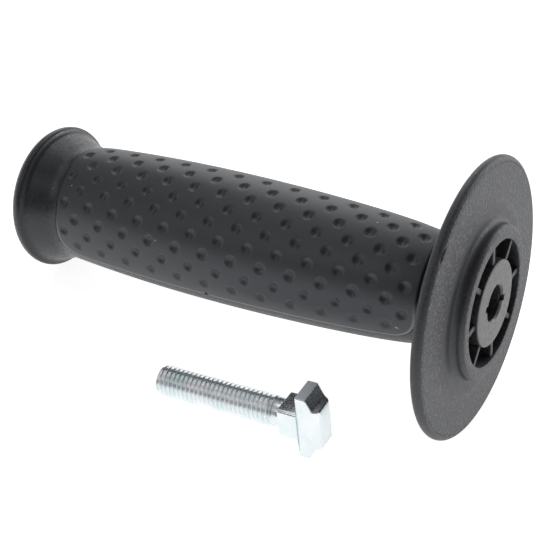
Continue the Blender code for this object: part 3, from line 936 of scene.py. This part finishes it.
plastic = {
    "color": (0.020, 0.0203, 0.0220),
    "paleColor": (0.027, 0.0273, 0.0290),
    # pale grain, which on the flat faces is also painted light
    "grainAndLightColor": (0.172, 0.173, 0.179),
    "grainElsewhere": 0.18,         # share of the grain that is left off the flat faces
    "faceDepths": (0.0, 3.35),      # of the flat faces behind the hub's face, in millimetres
    "faceFade": (0.12, 0.30),
    "grainRange": (0.47, 0.64),     # noise values over which the pale grain sets in
    "heightRange": (0.25, 0.75),
    "knobPaintedShade": (0.0050, 0.0053, 0.0064),
    "knobPolish": 0.13,
    "knobGrain": 0.15,
    "knobDistance": (94.0, 22.0),   # from the hub, where the knob's painted shade and smoother finish start, and their fade
    "roughness": (0.40, 0.64),
    "gloss": 0.75,
    "specularTint": (0.92, 0.945, 1.0),
    "cloudScale": 60.0,
    "bumpStrength": 0.6,
    "grainScale": 1350.0,
    "grainDepth": 0.32,
    "fineScale": 3600.0,
    "fineDepth": 0.03,
    "hubPaintedHighlight": (0.090, 0.083, 0.080),
    "hubRoughness": 0.27,
    "hubFade": 0.3,
    "hubFaceDepth": (0.2, 0.4),     # the face's smoother finish and painted highlight end between these depths
}


def plasticMaterial():
    # Dark moulded plastic with a spark-eroded grain, pale on its high spots, mostly on the flat
    # faces, where the pale grain is also painted light. The hub's face, which the tool bears on, is
    # smoother, and its lighter colour is a painted highlight; the knob's darker colour is painted
    # shade, and the knob is worn smoother
    material, tree, shader = newMaterial("moulded_plastic")
    point = objectPoint(tree)
    grain = noise(tree, point, plastic["grainScale"], 2.0, 0.6)
    fine = noise(tree, point, plastic["fineScale"], 3.0, 0.6)
    cloud = noise(tree, point, plastic["cloudScale"], 2.0)
    centre, fade = tuple(hubCentre), plastic["hubFade"]
    hub = nearPoint(tree, point, centre, body["hubRadius"] - fade, fade)
    depth = along(tree, point, hubCentre, -handleMatrix.to_3x3().col[2])
    faceEnds = [edge * mm for edge in plastic["hubFaceDepth"]]
    hub = math2(tree, "MULTIPLY", hub, remap(tree, depth, *faceEnds, 1.0, 0.0))
    fades = [edge * mm for edge in plastic["faceFade"]]
    offsets = [math2(tree, "SUBTRACT", depth, level * mm) for level in plastic["faceDepths"]]
    levels = [math2(tree, "ABSOLUTE", offset, 0.0) for offset in offsets]
    nearest = math2(tree, "MINIMUM", *levels)
    flat = remap(tree, nearest, *fades, 1.0, plastic["grainElsewhere"])
    rough = math2(tree, "MULTIPLY", math2(tree, "SUBTRACT", 1.0, hub), flat)
    flangeEnd = nearPoint(tree, point, centre, *plastic["knobDistance"])
    clouded = remap(tree, cloud, *noiseRange)
    color = blendColor(tree, clouded, plastic["color"], plastic["paleColor"])
    speckle = remap(tree, grain, *plastic["grainRange"])
    # Pale grain, mostly on the flat faces: real grain, and painted light on those faces
    color = blendColor(tree, math2(tree, "MULTIPLY", speckle, flat), color, plastic["grainAndLightColor"])
    # Painted shade: a darker colour towards the knob
    color = blendColor(tree, flangeEnd, plastic["knobPaintedShade"], color)
    # Painted highlight: a lighter colour on the hub's face
    color = blendColor(tree, hub, color, plastic["hubPaintedHighlight"])
    grained = remap(tree, grain, *noiseRange, *plastic["roughness"])
    polish = math2(tree, "MULTIPLY", hub, plastic["hubRoughness"] - plastic["roughness"][0])
    worn = remap(tree, flangeEnd, 0.0, 1.0, -plastic["knobPolish"], 0.0)
    finish = math2(tree, "ADD", math2(tree, "ADD", grained, polish), worn)
    knobRough = remap(tree, flangeEnd, 0.0, 1.0, plastic["knobGrain"], 1.0)
    rough = math2(tree, "MULTIPLY", rough, knobRough)
    raised = remap(tree, grain, *plastic["heightRange"])
    height = math2(tree, "MULTIPLY", raised, rough)
    coarse = bump(tree, height, plastic["bumpStrength"], plastic["grainDepth"])
    detail = math2(tree, "MULTIPLY", fine, rough)
    normal = bump(tree, detail, plastic["bumpStrength"], plastic["fineDepth"], coarse)
    finishShader(tree, shader, color, finish, normal)
    sheen(shader, plastic)
    return material


rubber = {
    "color": (0.011, 0.012, 0.0135),
    "paleColor": (0.015, 0.016, 0.018),
    "roughness": (0.42, 0.52),
    "gloss": 0.9,
    "cloudScale": 45.0,
    "bumpStrength": 0.4,
    "grainScale": 3000.0,
    "grainDepth": 0.03,
    "paintedHighlightColor": (0.40, 0.402, 0.41),
    "specularTint": (0.90, 0.93, 1.0),
    "fleckColor": (0.55, 0.54, 0.52),
    "fleckWidth": 0.55,
    "fleckEnds": ((14.5, 282.0, 19.3), (14.5, 283.6, 18.2)),
    "speckScale": 260.0,
    "speckSize": 0.055,
    "speckShare": 0.86,
    "speckColor": (0.42, 0.42, 0.42),
}


def rubberMaterial():
    # Soft-touch rubber, a touch darker, with a few specks of light dust, one light fleck and a
    # painted highlight along the lower edge
    material, tree, shader = newMaterial("soft_rubber")
    point = objectPoint(tree)
    grain = noise(tree, point, rubber["grainScale"])
    cloud = noise(tree, point, rubber["cloudScale"])
    clouded = remap(tree, cloud, *noiseRange)
    color = blendColor(tree, clouded, rubber["color"], rubber["paleColor"])
    specks = addNode(tree, "ShaderNodeTexVoronoi", Vector=point, Scale=rubber["speckScale"])
    near = math2(tree, "LESS_THAN", specks.outputs["Distance"], rubber["speckSize"])
    split = addNode(tree, "ShaderNodeSeparateColor", Color=specks.outputs["Color"])
    few = math2(tree, "GREATER_THAN", split.outputs[0], rubber["speckShare"])
    color = blendColor(tree, math2(tree, "MULTIPLY", near, few), color, rubber["speckColor"])
    fleckEnds = [handlePoint(*end) for end in rubber["fleckEnds"]]
    fleck = streak(tree, point, *fleckEnds, rubber["fleckWidth"])
    color = blendColor(tree, fleck, color, rubber["fleckColor"])
    # Painted highlight along the pads' lower round edge, read from the point attribute
    paintedHighlight = addNode(tree, "ShaderNodeAttribute", {"attribute_name": pad["paintedHighlightName"]})
    color = blendColor(tree, paintedHighlight.outputs["Fac"], color, rubber["paintedHighlightColor"])
    finish = remap(tree, grain, *noiseRange, *rubber["roughness"])
    normal = bump(tree, grain, rubber["bumpStrength"], rubber["grainDepth"])
    finishShader(tree, shader, color, finish, normal)
    sheen(shader, rubber)
    return material


zinc = {
    "color": (0.87, 0.885, 0.90),
    "tint": (0.74, 0.82, 0.84),
    "roughness": (0.14, 0.32),
    "threadDullness": 0.09,
    "nutDullness": 0.12,
    "cloudScale": 190.0,
    "cloudRange": (0.35, 0.65),
    "waveScale": 420.0,
    "waveDepth": 0.05,
    "waveStrength": 0.5,
    "scratchScale": 2600.0,
    "scratchDepth": 0.012,
    "scratchStrength": 0.4,
    "cutColor": (0.72, 0.75, 0.79),
    "cutRoughness": 0.78,
    "cutStart": 8.85,       # from the bolt's axis, where a wing's cut end starts
    "cutFade": 0.1,
}


def zincMaterial(name, dullness):
    # Bright zinc plating: metal with faint blue-green clouds, a wavy surface and fine pitting.
    # The thread is a little duller. The ends of the wings, where the forging was cut, are rough
    material, tree, shader = newMaterial(name)
    point = objectPoint(tree)
    cloud = noise(tree, point, zinc["cloudScale"])
    wave = noise(tree, point, zinc["waveScale"], 2.0)
    pitting = noise(tree, point, zinc["scratchScale"], 3.0, 0.6)
    clouded = remap(tree, cloud, *zinc["cloudRange"])
    color = blendColor(tree, clouded, zinc["color"], zinc["tint"])
    origin, turned = boltMatrix.translation, boltMatrix.to_3x3()
    reach = math2(tree, "ABSOLUTE", along(tree, point, origin, turned.col[0]), 0.0)
    cutEnd = zinc["cutStart"] + zinc["cutFade"]
    cut = remap(tree, reach, zinc["cutStart"] * mm, cutEnd * mm)
    color = blendColor(tree, cut, color, zinc["cutColor"])
    low, high = zinc["roughness"]
    plated = remap(tree, pitting, *noiseRange, low + dullness, high + dullness)
    station = along(tree, point, origin, turned.col[2])
    threadEnd = bolt["threadLength"] * mm
    duller = remap(tree, station, threadEnd, threadEnd + mm, zinc["threadDullness"], 0.0)
    plated = math2(tree, "ADD", plated, duller)
    finish = remap(tree, cut, 0.0, 1.0, plated, zinc["cutRoughness"])
    wavy = bump(tree, wave, zinc["waveStrength"], zinc["waveDepth"])
    normal = bump(tree, pitting, zinc["scratchStrength"], zinc["scratchDepth"], wavy)
    finishShader(tree, shader, color, finish, normal)
    shader.inputs["Metallic"].default_value = 1.0
    return material


# Pieces

print("building pieces")
plasticFinish = plasticMaterial()
rubberFinish = rubberMaterial()
brightZinc = zincMaterial("bright_zinc", 0.0)
dullZinc = zincMaterial("dull_zinc", zinc["nutDullness"])

moulding = buildBody(plasticFinish)
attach(moulding, "root")
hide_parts("handle_body")

for node in padCentres:
    skin = buildPad(node, rubberFinish)
    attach(skin, "root")
    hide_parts(node)

threaded = buildBolt(brightZinc)
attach(threaded, "root")
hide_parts("t_bolt")

nut = frame["nodes"]["captive_nut"]
for socket in nut.material_slots:
    socket.material = dullZinc


# Floor, lamps, world and camera

studio = {
    "floorSize": 6.0,
    "floorColor": (0.80, 0.80, 0.80),
    "floorGlow": 0.84,
    "floorBounce": 0.35,
    "worldStrength": 0.19,
    # The white backdrop fades out between these heights in degrees, and between these shares of
    # the way from front to back
    "backdropTop": (12.0, 30.0),
    "backdropSide": (-0.70, -0.25),
}


def mirrorRays(tree, path):
    # 1 for rays off a glossy surface or through a clear one
    clear = path.outputs["Is Transmission Ray"]
    return math2(tree, "MAXIMUM", path.outputs["Is Glossy Ray"], clear)


def seenBy(tree):
    # 1 for rays from the camera or a mirroring surface, 0 for the light that falls on things
    path = addNode(tree, "ShaderNodeLightPath")
    return math2(tree, "MAXIMUM", path.outputs["Is Camera Ray"], mirrorRays(tree, path))


def buildFloor():
    half = studio["floorSize"] / 2.0
    mesh = bpy.data.meshes.new("floor")
    corners = [(x * half, y * half, 0.0) for x, y in ((-1, -1), (1, -1), (1, 1), (-1, 1))]
    mesh.from_pydata(corners, [], [(0, 1, 2, 3)])
    floor = bpy.data.objects.new("floor", mesh)
    bpy.context.scene.collection.objects.link(floor)
    material = bpy.data.materials.new("pale_floor")
    material.use_nodes = True
    tree = material.node_tree
    tree.nodes.remove(tree.nodes["Principled BSDF"])
    seen = seenBy(tree)
    diffuse = addNode(tree, "ShaderNodeBsdfDiffuse", Color=(*studio["floorColor"], 1.0))
    glow = addNode(tree, "ShaderNodeEmission")
    glow.inputs["Color"].default_value = (1.0, 1.0, 1.0, 1.0)
    strength = remap(tree, seen, 0.0, 1.0, studio["floorBounce"], studio["floorGlow"])
    tree.links.new(strength, glow.inputs["Strength"])
    both = addNode(tree, "ShaderNodeAddShader")
    tree.links.new(diffuse.outputs[0], both.inputs[0])
    tree.links.new(glow.outputs[0], both.inputs[1])
    tree.links.new(both.outputs[0], tree.nodes["Material Output"].inputs["Surface"])
    mesh.materials.append(material)


def buildWorld():
    # White to the camera. Glossy surfaces see a low white backdrop behind the set, and a dim room
    # above it and in front
    world = bpy.data.worlds.new("studio")
    bpy.context.scene.world = world
    world.use_nodes = True
    tree = world.node_tree
    background = tree.nodes["Background"]
    background.inputs["Color"].default_value = (1.0, 1.0, 1.0, 1.0)
    path = addNode(tree, "ShaderNodeLightPath")
    coordinates = addNode(tree, "ShaderNodeTexCoord")
    way = addNode(tree, "ShaderNodeSeparateXYZ", Vector=coordinates.outputs["Generated"])
    low, high = (math.sin(math.radians(height)) for height in studio["backdropTop"])
    belowTop = remap(tree, way.outputs["Z"], low, high, 1.0, 0.0)
    behind = remap(tree, way.outputs["Y"], *studio["backdropSide"])
    backdrop = math2(tree, "MULTIPLY", belowTop, behind)
    mirrored = math2(tree, "MULTIPLY", mirrorRays(tree, path), backdrop)
    seen = math2(tree, "MAXIMUM", path.outputs["Is Camera Ray"], mirrored)
    strength = remap(tree, seen, 0.0, 1.0, studio["worldStrength"], 1.0)
    tree.links.new(strength, background.inputs["Strength"])


lamps = {
    # Place in metres, width and height in metres, power in watts. All aim at the set's middle
    "front_softbox": ((-0.45, -0.80, 0.84), (0.5, 0.7), 1.2),
    "left_softbox": ((-0.56, -0.06, 1.10), (0.5, 0.6), 0.9),
    "top_softbox": ((-0.36, 0.62, 0.72), (0.5, 1.0), 2.0),
    "side_softbox": ((0.75, 1.10, 0.45), (0.8, 0.7), 5.0),
    "back_softbox": ((-0.30, 1.30, 0.40), (2.2, 0.6), 2.0),
}


def buildLamps():
    target = (cadLow + cadHigh) / 2.0
    for name, (place, size, power) in lamps.items():
        data = bpy.data.lights.new(name, "AREA")
        data.shape = "RECTANGLE"
        data.size, data.size_y = size
        data.energy = power
        lamp = bpy.data.objects.new(name, data)
        lamp.location = place
        lamp.rotation_euler = (target - Vector(place)).to_track_quat("-Z", "Y").to_euler()
        bpy.context.scene.collection.objects.link(lamp)


camera = {
    "focalLength": 78.268,                      # millimetres
    "sensorWidth": 36.0,
    "clipStart": 0.01,                          # metres
    "fromHubFoot": (65.28, -221.52, 208.44),    # millimetres from the floor below the hub's face
    "right": (0.86333, 0.50383, 0.02852),
    "up": (-0.32217, 0.50679, 0.79961),
}


def buildCamera():
    data = bpy.data.cameras.new("photo_view")
    data.sensor_width = camera["sensorWidth"]
    data.lens = camera["focalLength"]
    data.clip_start = camera["clipStart"]
    view = bpy.data.objects.new("photo_view", data)
    right = Vector(camera["right"]).normalized()
    up = Vector(camera["up"]).normalized()
    matrix = Matrix((right, up, right.cross(up))).transposed().to_4x4()
    hubFoot = Vector((hubCentre.x, hubCentre.y, 0.0))
    matrix.translation = hubFoot + Vector(camera["fromHubFoot"]) * mm
    view.matrix_world = matrix
    bpy.context.scene.collection.objects.link(view)
    bpy.context.scene.camera = view


print("building the studio")
buildFloor()
buildWorld()
buildLamps()
buildCamera()
bpy.context.scene.view_settings.view_transform = "Standard"
